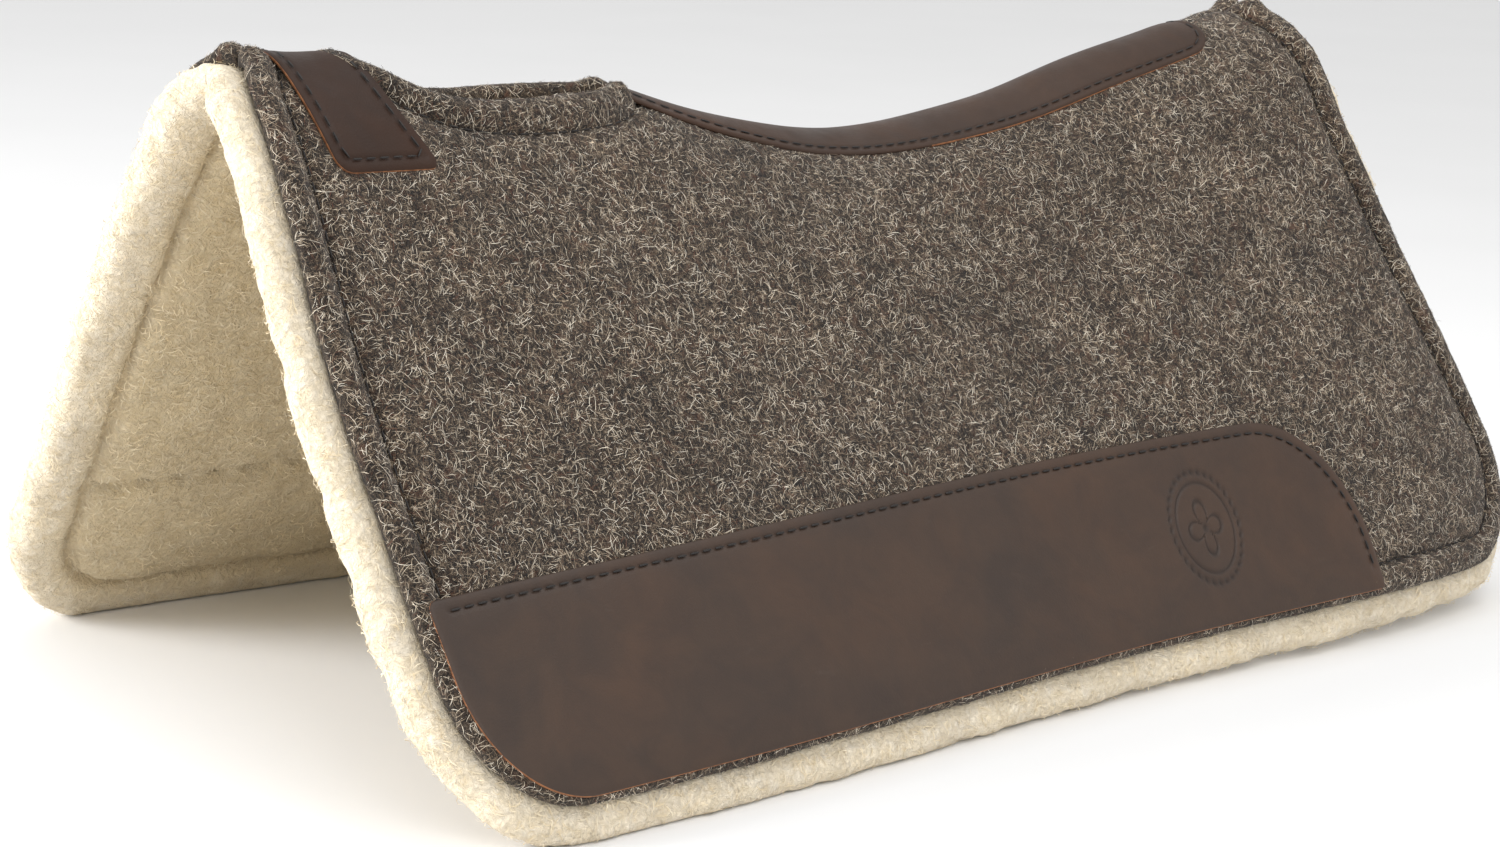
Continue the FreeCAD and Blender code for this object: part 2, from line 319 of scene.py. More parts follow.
def triangulate(boundary, extra):
    """A closed boundary filled with triangles over extra points inside it.

    Returns the points, the triangles and where each boundary point went."""
    points = np.concatenate([boundary, extra])
    loop = [list(range(len(boundary)))]
    verts, _, faces, orig, _, _ = delaunay_2d_cdt(
        [Vector(p) for p in points], [], loop, 1, 1e-4)
    made = np.array([tuple(v) for v in verts])
    back = np.full(len(points), -1)
    for i, sources in enumerate(orig):
        for s in sources:
            back[s] = i
    triangles = np.array([tuple(f) for f in faces if len(f) == 3])
    return made, triangles, back[:len(boundary)]


STRAIGHT_REACH = 9.0        # v over which a half's edge turns from along x to its own normal


# ---- mesh helpers ----------------------------------------------------------------------------
def new_object(name, verts, faces, materials, material_index=None):
    """A smooth-shaded mesh in the scene, of one material or a list of them."""
    mesh = bpy.data.meshes.new(name)
    mesh.from_pydata([tuple(v) for v in verts], [], [tuple(f) for f in faces])
    mesh.validate()
    for m in materials if isinstance(materials, list) else [materials]:
        mesh.materials.append(m)
    if material_index is not None:
        mesh.polygons.foreach_set("material_index", np.asarray(material_index, np.int32))
    mesh.polygons.foreach_set("use_smooth", np.ones(len(mesh.polygons), bool))
    mesh.update()
    obj = bpy.data.objects.new(name, mesh)
    bpy.context.scene.collection.objects.link(obj)
    return obj


def vertex_values(obj, what="co"):
    """The vertices' places ("co") or directions ("normal")."""
    values = np.zeros(len(obj.data.vertices) * 3)
    obj.data.vertices.foreach_get(what, values)
    return values.reshape(-1, 3)


def set_attribute(obj, name, values):
    """A number at each vertex, for the materials."""
    obj.data.attributes.new(name, "FLOAT", "POINT").data.foreach_set("value", values)


def lumps(points, size, seed):
    """Smooth noise at points in metres, about -1 to 1, with lumps of a size in millimetres."""
    scale = 1.0 / (size * MM)
    shift = Vector((seed * 3.17, seed * 1.31, seed * 2.23))
    return np.array([noise.noise(Vector(p) * scale + shift) for p in points])


def layer(name, side, boundary, real, cap_points, top, bottom, roll, ring_count, materials,
          edge_index=0, raw=None):
    """A closed layer: two caps over one boundary, joined by a rolled edge.

    top and bottom give the depth at (x, v) points; roll is how far the edge bulges out.
    raw picks the boundary points whose lower edge shows the edge material.  Near the
    spine a half's edge bulges along x only, so that the halves meet without a crease.
    Returns the object and its cap points, which are its first vertices, twice over."""
    flat, tris, loop = triangulate(boundary, cap_points)
    top_depth = top(flat)
    low_depth = bottom(flat)
    edge = flat[loop]
    d = np.roll(edge, -1, 0) - np.roll(edge, 1, 0)
    area = np.sum(edge[:, 0] * np.roll(edge[:, 1], -1) - np.roll(edge[:, 0], -1) * edge[:, 1])
    n = unit(np.stack([d[:, 1], -d[:, 0]], 1)) * np.sign(area)
    one_side = boundary[:, 1].min() > -1e-6
    if one_side:
        n[:, 1] *= np.clip(edge[:, 1] / STRAIGHT_REACH, 0, 1)
        n = unit(n)
    verts = [SHEET.place(flat[:, 0], flat[:, 1], depth, side) for depth in (top_depth, low_depth)]
    count = len(flat)
    rings = [loop]
    for k in range(1, ring_count + 1):
        angle = math.pi * k / (ring_count + 1)
        depth = (top_depth[loop] + low_depth[loop]) / 2
        depth = depth - (low_depth[loop] - top_depth[loop]) / 2 * math.cos(angle)
        out = edge + n * (roll * real * math.sin(angle))[:, None]
        if one_side:
            out[:, 1] = np.maximum(out[:, 1], 0)
        verts.append(SHEET.place(out[:, 0], out[:, 1], depth, side))
        rings.append(2 * count + (k - 1) * len(loop) + np.arange(len(loop)))
    rings.append(loop + count)
    faces = [tuple(t) for t in tris] + [tuple(t[::-1]) for t in tris + count]
    index = [0] * len(faces)
    m = len(loop)
    bare = np.ones(m, bool) if raw is None else raw(edge)
    for ring, (a, b) in enumerate(zip(rings, rings[1:])):
        for i in range(m):
            j = (i + 1) % m
            faces.append((a[i], b[i], b[j], a[j]))
            index.append(edge_index if bare[i] and (raw is None or ring > 0) else 0)
    obj = new_object(name, np.concatenate(verts), faces, materials, index)
    fix_outward(obj)
    return obj, flat


def fix_outward(obj):
    """Turns every face of a closed mesh outward."""
    bm = bmesh.new()
    bm.from_mesh(obj.data)
    bmesh.ops.recalc_face_normals(bm, faces=bm.faces)
    bm.to_mesh(obj.data)
    bm.free()
    obj.data.update()


GROUND_REACH = 0.0002       # metres: what is this low rests on the ground


def displace(obj, amounts):
    """Moves each vertex along its normal, but never off the ground or below it."""
    co = vertex_values(obj)
    moved = co + vertex_values(obj, "normal") * amounts[:, None]
    moved[:, 2] = np.where(co[:, 2] < GROUND_REACH, 0, np.maximum(moved[:, 2], 0))
    obj.data.vertices.foreach_set("co", moved.reshape(-1))
    obj.data.update()


# ---- materials -------------------------------------------------------------------------------
class Nodes:
    """A short way to write a node tree."""

    def __init__(self, name):
        self.material = bpy.data.materials.new(name)
        self.material.use_nodes = True
        self.tree = self.material.node_tree
        self.shader = self.tree.nodes["Principled BSDF"]
        self.where = self.tree.nodes.new("ShaderNodeTexCoord").outputs["Object"]

    def noise(self, scale, detail=2.0, rough=0.5, distortion=0.0, where=None):
        n = self.tree.nodes.new("ShaderNodeTexNoise")
        n.inputs["Scale"].default_value = scale
        n.inputs["Detail"].default_value = detail
        n.inputs["Roughness"].default_value = rough
        n.inputs["Distortion"].default_value = distortion
        self.tree.links.new(where or self.where, n.inputs["Vector"])
        return n.outputs["Fac"]

    def cells(self, scale, feature="F1", where=None):
        n = self.tree.nodes.new("ShaderNodeTexVoronoi")
        n.feature = feature
        n.inputs["Scale"].default_value = scale
        self.tree.links.new(where or self.where, n.inputs["Vector"])
        return n.outputs["Distance"]

    def stretched(self, turn, squeeze):
        n = self.tree.nodes.new("ShaderNodeMapping")
        n.inputs["Rotation"].default_value = turn
        n.inputs["Scale"].default_value = squeeze
        self.tree.links.new(self.where, n.inputs["Vector"])
        return n.outputs["Vector"]

    def attribute(self, name):
        n = self.tree.nodes.new("ShaderNodeAttribute")
        n.attribute_name = name
        return n.outputs["Fac"]

    def ramp(self, fac, stops):
        n = self.tree.nodes.new("ShaderNodeValToRGB")
        while len(n.color_ramp.elements) < len(stops):
            n.color_ramp.elements.new(0.5)
        for e, (at, colour) in zip(n.color_ramp.elements, stops):
            e.position = at
            e.color = (*colour, 1) if len(colour) == 3 else colour
        self.tree.links.new(fac, n.inputs["Fac"])
        return n.outputs["Color"]

    def feed(self, socket, value):
        """Gives a socket a number, a colour or another node's output."""
        if isinstance(value, (int, float)):
            socket.default_value = value
        elif isinstance(value, tuple):
            socket.default_value = (*value, 1)
        else:
            self.tree.links.new(value, socket)

    def mix(self, fac, a, b, kind="MIX"):
        n = self.tree.nodes.new("ShaderNodeMix")
        n.data_type = "RGBA"
        n.blend_type = kind
        for socket, value in ((n.inputs[0], fac), (n.inputs[6], a), (n.inputs[7], b)):
            self.feed(socket, value)
        return n.outputs[2]

    def math(self, kind, a, b):
        n = self.tree.nodes.new("ShaderNodeMath")
        n.operation = kind
        self.feed(n.inputs[0], a)
        self.feed(n.inputs[1], b)
        return n.outputs[0]

    def bump(self, height, strength, distance):
        n = self.tree.nodes.new("ShaderNodeBump")
        n.inputs["Strength"].default_value = strength
        n.inputs["Distance"].default_value = distance
        self.tree.links.new(height, n.inputs["Height"])
        self.tree.links.new(n.outputs["Normal"], self.shader.inputs["Normal"])

    def set(self, **values):
        """Sets the shader's sockets, by names with _ for each space."""
        for key, value in values.items():
            self.feed(self.shader.inputs[key.replace("_", " ")], value)


STRAND_RUNS = (
    ((0.5, 0.3, 0.9), (1.0, 0.3, 0.8)),
    ((1.1, 0.7, -0.6), (0.3, 1.0, 0.9)),
    ((-0.6, 0.2, 0.3), (0.9, 0.8, 0.3)),
)


def felt_material(name, dark, mid, light):
    """Matted wool: strands of three directions, in lighter and darker patches, with some rust."""
    n = Nodes(name)
    strands = None
    for turn, squeeze in STRAND_RUNS:
        one = n.noise(860, 3, 0.78, 0.8, n.stretched(turn, squeeze))
        strands = one if strands is None else n.math("MAXIMUM", strands, one)
    colour = n.ramp(strands, [(0.52, dark), (0.585, mid), (0.63, mid), (0.70, light)])
    patch = n.ramp(n.noise(26, 5, 0.66), [(0.34, (0.62, 0.60, 0.58)), (0.66, (1.28, 1.25, 1.20))])
    colour = n.mix(1.0, colour, patch, "MULTIPLY")
    rust = n.ramp(n.noise(130, 3, 0.6), [(0.56, (0, 0, 0)), (0.72, (1, 1, 1))])
    colour = n.mix(n.math("MULTIPLY", rust, 0.4), colour, (0.13, 0.055, 0.03))
    n.set(Base_Color=colour, Roughness=0.95, Sheen_Weight=0.12, Sheen_Roughness=0.6,
          Specular_IOR_Level=0.1)
    n.bump(strands, 1.0, 0.0016)
    return n.material


def fibre_material(name, stops):
    """Single wool fibres, each with its own tone, in the felt's patches."""
    n = Nodes(name)
    patch = n.ramp(n.noise(26, 5, 0.66), [(0.34, (0.70, 0.69, 0.68)), (0.66, (1.15, 1.14, 1.12))])
    colour = n.mix(1.0, n.ramp(n.attribute("tone"), stops), patch, "MULTIPLY")
    n.set(Base_Color=colour, Roughness=0.8, Sheen_Weight=0.2, Specular_IOR_Level=0.25)
    return n.material


def fleece_material(name):
    """Wool pile: paler and whiter on its rolled rim as a painted highlight, and darker inside as painted
    shade.
    """
    n = Nodes(name)
    lump = n.noise(120, 4, 0.65, 0.8)
    fine = n.noise(330, 4, 0.72, 0.8)
    broad = n.noise(30, 3, 0.6)
    colour = n.ramp(lump, [(0.3, (0.80, 0.655, 0.42)), (0.5, (0.87, 0.735, 0.51)),
                           (0.72, (0.93, 0.82, 0.62))])
    pits = n.ramp(fine, [(0.34, (0.70, 0.56, 0.34)), (0.50, (0.90, 0.77, 0.55))])
    colour = n.mix(0.22, colour, pits)
    tone = n.ramp(broad, [(0.35, (0.93, 0.92, 0.90)), (0.65, (1.04, 1.03, 1.0))])
    colour = n.mix(1.0, colour, tone, "MULTIPLY")
    # painted light: the rolled rim is multiplied paler and whiter as a painted highlight, and the fleece
    # away from its edges darker as painted shade
    rim_highlight_and_inner_shade = n.ramp(n.attribute("rolled"), [(0.0, (0.84, 0.82, 0.78)), (1.0, (1.05, 1.09, 1.22))])
    n.set(Base_Color=n.mix(1.0, colour, rim_highlight_and_inner_shade, "MULTIPLY"), Roughness=0.97, Sheen_Weight=0.15,
          Sheen_Roughness=0.5, Specular_IOR_Level=0.1)
    n.bump(n.math("ADD", lump, n.math("MULTIPLY", fine, 0.7)), 1.0, 0.004)
    return n.material


LEATHER_STOPS = (
    (0.32, (0.041, 0.029, 0.023)),
    (0.50, (0.050, 0.033, 0.024)),
    (0.70, (0.060, 0.036, 0.024)),
)


def leather_material(name, depth, gloss=0.32):
    """Oiled pull-up leather, clouded and scuffed, darker where it is pressed."""
    n = Nodes(name)
    broad = n.noise(6, 4, 0.6, 0.8)
    cloud = n.noise(30, 4, 0.65, 0.5)
    stops = [(at, tuple(c * d for c, d in zip(stop, depth))) for at, stop in LEATHER_STOPS]
    colour = n.ramp(broad, stops)
    tint = n.ramp(cloud, [(0.35, (0.86, 0.88, 0.92)), (0.68, (1.14, 1.10, 1.05))])
    colour = n.mix(1.0, colour, tint, "MULTIPLY")
    scuff = n.ramp(n.noise(95, 5, 0.75, 1.2, n.stretched((0, 0, 0.1), (0.35, 1, 1))),
                   [(0.62, (0, 0, 0)), (0.82, (1, 1, 1))])
    colour = n.mix(n.math("MULTIPLY", scuff, 0.2), colour, (0.11, 0.085, 0.07))
    pressed = n.math("MINIMUM", n.math("MULTIPLY", n.attribute("press"), 0.75), 0.75)
    colour = n.mix(pressed, colour, (0.014, 0.009, 0.007))
    rough = n.ramp(n.noise(60, 4, 0.6), [(0.3, (0.42, 0.42, 0.42)), (0.7, (0.56, 0.56, 0.56))])
    n.set(Base_Color=colour, Roughness=rough, Specular_IOR_Level=gloss)
    grain = n.math("ADD", n.cells(900), n.math("MULTIPLY", n.noise(2200, 2, 0.5), 0.6))
    n.bump(grain, 0.2, 0.0004)
    return n.material


def raw_edge_material(name):
    """The leather's cut edge, in its undyed orange-brown."""
    n = Nodes(name)
    colour = n.ramp(n.noise(240, 3, 0.6), [(0.3, (0.12, 0.045, 0.018)), (0.55, (0.28, 0.11, 0.04)),
                                           (0.8, (0.38, 0.17, 0.07))])
    n.set(Base_Color=colour, Roughness=0.7)
    n.bump(n.noise(1400, 2, 0.5), 0.4, 0.0005)
    return n.material


def thread_material(name, dark, light):
    n = Nodes(name)
    n.set(Base_Color=n.ramp(n.noise(1500, 2, 0.5), [(0.35, dark), (0.65, light)]), Roughness=0.6)
    n.bump(n.noise(3000, 1, 0.5), 0.4, 0.0003)
    return n.material


def floor_material():
    n = Nodes("pale_floor")
    tone = n.ramp(n.noise(3, 2, 0.5), [(0.0, (0.84, 0.84, 0.84)), (1.0, (0.88, 0.88, 0.88))])
    n.set(Base_Color=tone, Roughness=0.8)
    return n.material


FELT_MAT = felt_material("felt", (0.007, 0.005, 0.004), (0.086, 0.059, 0.039), (0.64, 0.53, 0.39))
FELT_CUT_MAT = felt_material("felt_cut_edge", (0.010, 0.007, 0.005), (0.082, 0.060, 0.042),
                             (0.36, 0.30, 0.23))
INSERT_MAT = felt_material("felt_insert", (0.16, 0.15, 0.13), (0.30, 0.28, 0.25), (0.48, 0.45, 0.40))
FLEECE_MAT = fleece_material("fleece")
LEATHER_MAT = leather_material("leather", (0.98, 0.90, 0.84))
STRAP_MAT = leather_material("leather_strap", (0.60, 0.42, 0.32), 0.2)
SPINE_MAT = leather_material("leather_spine", (0.85, 0.68, 0.56), 0.26)
RAW_MAT = raw_edge_material("leather_raw_edge")
THREAD_MAT = thread_material("thread", (0.004, 0.003, 0.003), (0.018, 0.013, 0.010))
PALE_FIBRE = fibre_material("felt_fibre_pale", [
    (0.0, (0.10, 0.07, 0.045)), (0.40, (0.33, 0.255, 0.18)),
    (0.70, (0.72, 0.62, 0.48)), (1.0, (0.98, 0.91, 0.78))])
DARK_FIBRE = fibre_material("felt_fibre_dark", [
    (0.0, (0.008, 0.006, 0.005)), (0.75, (0.035, 0.023, 0.016)), (1.0, (0.12, 0.05, 0.03))])
FLEECE_FIBRE = fibre_material("fleece_fibre", [(0.0, (0.78, 0.645, 0.42)), (1.0, (0.96, 0.86, 0.66))])


# ---- what the layers look like ---------------------------------------------------------------
def smoothstep(t):
    """0 below 0, 1 above 1 and an even rise between them."""
    t = np.clip(t, 0, 1)
    return t * t * (3 - 2 * t)


def inward(polygon):
    """Each point's direction into a closed polygon."""
    d = np.roll(polygon, -1, 0) - np.roll(polygon, 1, 0)
    n = unit(np.stack([-d[:, 1], d[:, 0]], 1))
    return n if np.mean(inside(polygon + n, polygon)) > 0.5 else -n


def inset_loop(polygon, distance):
    """The loop inside a polygon at a distance, without its folded-over stretches."""
    loop = polygon + inward(polygon) * distance
    keep = nearest(loop, polygon) > distance - 0.4
    return loop[keep]


def split_runs(points, keep, gap=12.0):
    """The kept points of a loop, as separate runs."""
    first = int(np.argmin(keep))
    order = np.roll(np.arange(len(points)), -first)
    runs, run = [], []
    for i in order:
        if keep[i] and (not run or np.hypot(*(points[i] - run[-1])) < gap):
            run.append(points[i])
        else:
            if len(run) > 8:
                runs.append(np.array(run))
            run = [points[i]] if keep[i] else []
    if len(run) > 8:
        runs.append(np.array(run))
    return runs


WEAR = side_to_sheet(rounded(WEAR_OUTLINE))


def wear_seams():
    """The wear leather's stitched line along its top and down its rear, in (x, v)."""
    line = inset_loop(WEAR, WEAR_INSET)
    z = SHEET.look(SHEET.z, line[:, 0], line[:, 1])
    along_top = z > 96.0
    down_rear = (line[:, 0] > 235.0) & (z > 42.0)
    return split_runs(line, (line[:, 0] > -370.0) & (along_top | down_rear))


WEAR_SEAMS = wear_seams()
WEAR_SEAM_POINTS = np.concatenate(WEAR_SEAMS)
FRONT_X, REAR_X = outer_run(0.0, 2.0)[[0, -1], 0]


def under_leather(points):
    """1 well inside the wear leather's outline, 0 outside it."""
    near = nearest(points, WEAR)
    return np.where(inside(points, WEAR), smoothstep(near / 5.0), 0.0)


def edge_distance(points, boundary, real):
    """How far points are from the edges that aren't the seam between the halves."""
    return nearest(points, boundary[real > 0.3])


SPINE_ROWS = (2.6, 5.2, 8, 11, 14.5, 18.5, 23, 28, 33)      # v of the grid's rows near the spine


def inner_points(boundary, real, rings, grid):
    """Rings of points along the real edges, then an even grid, closer near the spine."""
    flat = []
    edges = boundary[real > 0.05]
    n = inward(boundary)
    for r in rings:
        ring = (boundary + n * r)[real > 0.05]
        ring = ring[inside(ring, boundary)]
        keep = nearest(ring, edges) > r - 0.35
        flat.append(ring[keep])
    rows = np.concatenate([SPINE_ROWS, np.arange(38, 470, grid)])
    gx, gv = np.meshgrid(np.arange(-430, 480, grid), rows)
    gx = gx + (np.arange(len(rows)) % 2 * grid / 2)[:, None]
    grid_points = np.stack([gx.ravel(), gv.ravel()], 1)
    grid_points = grid_points[inside(grid_points, boundary)]
    keep = nearest(grid_points, edges) > rings[-1] + grid * 0.6
    flat.append(grid_points[keep])
    return np.concatenate(flat)


def seam_ends(points):
    """Where the seam runs out at an edge: each half's felt curls up beside a small notch."""
    out = np.zeros(len(points))
    for at, reach in ((FRONT_X, 15.0), (REAR_X, 13.0), (OPENING_X[1] + 3.0, 8.0)):
        close = np.exp(-((points[:, 0] - at) / reach) ** 2)
        notch = 4.0 * np.exp(-(points[:, 1] / 3.0) ** 2)
        curl = 4.0 * np.exp(-((points[:, 1] - 10) / 6) ** 2)
        out += close * (notch - curl)
    return out


def felt_top(side, name):
    """One half's outer felt, with the edge seam's groove and raised lips at its rims."""
    boundary, real = half_boundary(-FELT_ROLL, 3.0)
    rim = opening_run(3.0, 3.0)
    rings = [1.6, 3.6, 6, 8.6, 10.8, 12.2, 13.0, 13.7, 14.4, 15.2, 16.4, 18.4, 21.5, 25.5]
    cap = inner_points(boundary, real, rings, 5.0)
    groove_at = GROOVE_INSET - FELT_ROLL

    def top(points):
        near = edge_distance(points, boundary, real)
        at_rim = np.exp(-(nearest(points, rim) / 9.0) ** 2)
        leather = under_leather(points)
        dip = np.exp(-((near - groove_at) / 5.0) ** 2)
        groove = 2.6 * np.exp(-((near - groove_at) / 1.3) ** 2)
        lip = -2.0 * np.exp(-((near - 5.5) / 5.0) ** 2) - 3.0 * at_rim
        body = -1.4 * smoothstep((near - groove_at - 1) / 14.0)
        return (dip + groove + lip + body + seam_ends(points)) * (1 - leather) + 0.3 * leather

    def bottom(points):
        at_rim = np.exp(-(nearest(points, rim) / 9.0) ** 2)
        return FELT - 2.0 * at_rim + 0.5 * seam_ends(points)

    obj, flat = layer(name, side, boundary, real, cap, top, bottom, FELT_ROLL, 5,
                      [FELT_MAT, FELT_CUT_MAT], edge_index=1)
    co = vertex_values(obj)
    soft = 0.0008 * lumps(co, 45, 1) + 0.0004 * lumps(co, 9, 2)
    covered = np.zeros(len(co))
    covered[:len(flat)] = under_leather(flat)
    displace(obj, soft * (1 - covered))
    return obj


def fleece_liner(side, name):
    """One half's fleece, with its rolled rim and the channels that its seams pull in."""
    boundary, real = half_boundary(FLEECE_LIP, RIM_CLEAR, taper=0)
    rings = [2.5, 5.5, 9, 12.5, 16, 18.5, 20, 21, 22, 23, 24.5, 27, 31, 36]
    cap = inner_points(boundary, real, rings, 5.0)
    stitched = GROOVE_INSET + FLEECE_LIP

    def top(points):
        near = edge_distance(points, boundary, real)
        pocket = smoothstep((near - stitched - 3) / 5.0)
        return FELT + 0.4 + 6.9 * pocket

    def bottom(points):
        near = edge_distance(points, boundary, real)
        away = near - stitched
        groove = np.exp(-(away / 2.4) ** 2) + 0.45 * np.exp(-(away / 7.0) ** 2)
        seam = nearest(points, WEAR_SEAM_POINTS)
        line = np.exp(-(seam / 2.2) ** 2) + 0.4 * np.exp(-(seam / 7.0) ** 2)
        return PAD_THICKNESS - 1.5 - 5.6 * np.maximum(groove, line * smoothstep(near / 8.0))

    obj, flat = layer(name, side, boundary, real, cap, top, bottom, FLEECE_ROLL, 11, [FLEECE_MAT])
    co = vertex_values(obj)
    pile = 0.0019 * lumps(co, 32, 3) + 0.0014 * lumps(co, 14, 4) + 0.0009 * lumps(co, 7, 5)
    pile[:len(flat)] *= 0.25                        # the face that the felt covers
    pile[len(flat):2 * len(flat)] *= 0.75           # the face on the horse's side
    displace(obj, pile)
    # rolled is 1 on the rim and near the edges and falls to 0 inside; the fleece material uses it for
    # painted rim highlight and painted inside shade
    rolled = np.ones(len(co))
    rolled[:2 * len(flat)] = np.tile(np.exp(-(edge_distance(flat, boundary, real) / 16.0) ** 2), 2)
    set_attribute(obj, "rolled", rolled)
    return obj


def felt_insert(side, name):
    """One half's hidden core, inside the edge seam and clear of the spine."""
    step = 6.0
    boundary, _ = half_boundary(-INSERT_INSET, INSERT_INSET, step)
    boundary = boundary[boundary[:, 1] > 15]
    boundary = resample(np.concatenate([boundary, boundary[:1]]), step)[:-1]
    grid = grid_over((-400, 20), (440, 420), 16)
    grid = grid[inside(grid, boundary)]
    grid = grid[nearest(grid, boundary) > step]
    obj, _ = layer(name, side, boundary, np.zeros(len(boundary)), grid,
                   lambda points: np.full(len(points), FELT + 0.6),
                   lambda points: np.full(len(points), FELT + 6.4), 0.0, 1, [INSERT_MAT])
    return obj


LEATHER_RINGS = (0.8, 2.0, 3.6, 4.8, 5.6, 6.4, 7.6, 9.5)     # distances of mesh rings from the edge
MARK_AT = (147.0, 288.0)    # x and v of the stamp's middle
MARK_SIZE = (31.0, 38.0)
MARK_MESH = (36.0, 44.0)    # half sizes of the stamp's finer mesh
MARK_CELL = 0.8


def leather_piece(name, side, polygon, seat, crown, seams, raw, hide, mark=None, cell=4.0):
    """A leather patch over a closed (x, v) polygon; v may be negative, across the spine.

    seat is its lift off the felt, crown its swell in the middle, raw its unburnished edge
    and mark the stamp pressed into it, which gets a finer mesh."""
    inset = inset_loop(polygon, CUT_BACK)
    extra = []
    for r in LEATHER_RINGS:
        ring = inset_loop(inset, r)
        extra.append(ring[inside(ring, inset)])
    grid = grid_over(inset.min(0), inset.max(0), cell)
    grid = grid[inside(grid, inset)]
    grid = grid[nearest(grid, inset) > LEATHER_RINGS[-1] + 2.0]
    if mark:
        grid = grid[mark_radius(grid, MARK_MESH) > 1.06]
        centre, reach = np.array(MARK_AT), np.array(MARK_MESH)
        close = grid_over(centre - reach, centre + reach, MARK_CELL)
        extra.append(close[mark_radius(close, MARK_MESH) < 1])
    extra.append(grid)
    seam = np.concatenate(seams)

    def top(points):
        near = nearest(points, inset)
        stitch = 0.7 * np.exp(-(nearest(points, seam) / 1.2) ** 2)
        soft = crown(points) * smoothstep(near / 16.0)
        out = -seat - LEATHER + 0.5 * np.exp(-near / 0.8) + stitch - soft
        return out + mark(points) if mark else out

    def pressed(points):
        thread = 0.22 * np.exp(-(nearest(points, seam) / 1.5) ** 2)
        return np.maximum(thread, mark(points)) if mark else thread

    obj, flat = layer(name, side, inset, np.ones(len(inset)), np.concatenate(extra), top,
                      lambda points: np.full(len(points), -seat), CUT_BACK, 3,
                      [hide, RAW_MAT], edge_index=1, raw=raw)
    co = vertex_values(obj)
    amount = 0.0004 * lumps(co, 60, 6)
    amount[len(flat):] = 0
    displace(obj, amount)
    press = np.zeros(len(co))
    press[:len(flat)] = pressed(flat)
    set_attribute(obj, "press", press)
    return obj


def mark_radius(points, size):
    """How far points are from the mark's middle, in its half sizes."""
    return np.hypot((points[:, 0] - MARK_AT[0]) / size[0], (points[:, 1] - MARK_AT[1]) / size[1])


def cartouche(points):
    """A blank oval stamp: a rope border, an inner line and a four-petal rosette."""
    dx = (points[:, 0] - MARK_AT[0]) / MARK_SIZE[0]
    dv = (points[:, 1] - MARK_AT[1]) / MARK_SIZE[1]
    r = mark_radius(points, MARK_SIZE)
    turn = np.arctan2(dv, dx)
    rope = np.exp(-((r - 0.86) / 0.05) ** 2) * (0.7 + 0.3 * np.cos(turn * 32 + r * 16))
    line = 0.8 * np.exp(-((r - 0.70) / 0.03) ** 2)
    petal = 0.42 * np.abs(np.cos(2 * turn)) ** 0.6
    rosette = 0.9 * np.exp(-((r - petal) / 0.045) ** 2) * (r < 0.6)
    hub = np.exp(-(r / 0.07) ** 2)
    return (rope + line + rosette + hub) * (r < 1.1)


STITCH_PITCH = 8.5
STITCH_LENGTH = 5.8
SPINE_CLEAR = 2.0           # v that the strap's and the strip's rows keep from the spine


# ---- stitches and fibres ---------------------------------------------------------------------
def capsule(sections=8, rings=6):
    """A unit capsule along x: radius 1, from -1 to 1 before it is stretched."""
    verts, faces = [], []
    for i in range(rings + 1):
        a = math.pi * i / rings
        x, r = -math.cos(a), max(math.sin(a), 0.12) ** 0.55
        for k in range(sections):
            t = 2 * math.pi * k / sections
            verts.append((x, r * math.cos(t), r * math.sin(t)))
    for i in range(rings):
        for k in range(sections):
            a, b = i * sections + k, i * sections + (k + 1) % sections
            faces.append((a, b, b + sections, a + sections))
    faces.append(tuple(range(sections))[::-1])
    faces.append(tuple(rings * sections + k for k in range(sections)))
    return np.array(verts), faces


def stitches(name, paths, side, depth, radius=0.5):
    """Rows of stitches along (x, v) paths at a depth, one object."""
    shape, shape_faces = capsule()
    verts, faces = [], []
    for path in paths:
        path = resample(path, STITCH_PITCH)
        middle = (path[1:] + path[:-1]) / 2
        reach = unit(path[1:] - path[:-1]) * STITCH_LENGTH / 2
        a, b = (SHEET.place(*(middle + way * reach).T, depth, side) for way in (-1, 1))
        mid = (a + b) / 2
        ex = (b - a) / 2
        up = unit(SHEET.place(*middle.T, depth - 1.0, side) - mid)
        ey = unit(np.cross(up, ex))
        for i in range(len(mid)):
            base = len(verts) * len(shape)
            verts.append(mid[i] + shape[:, :1] * ex[i] + shape[:, 1:2] * ey[i] * radius * MM
                         + shape[:, 2:] * up[i] * radius * MM)
            faces += [tuple(base + k for k in f) for f in shape_faces]
    return new_object(name, np.concatenate(verts), faces, THREAD_MAT)


FIBRE_STEPS = 3


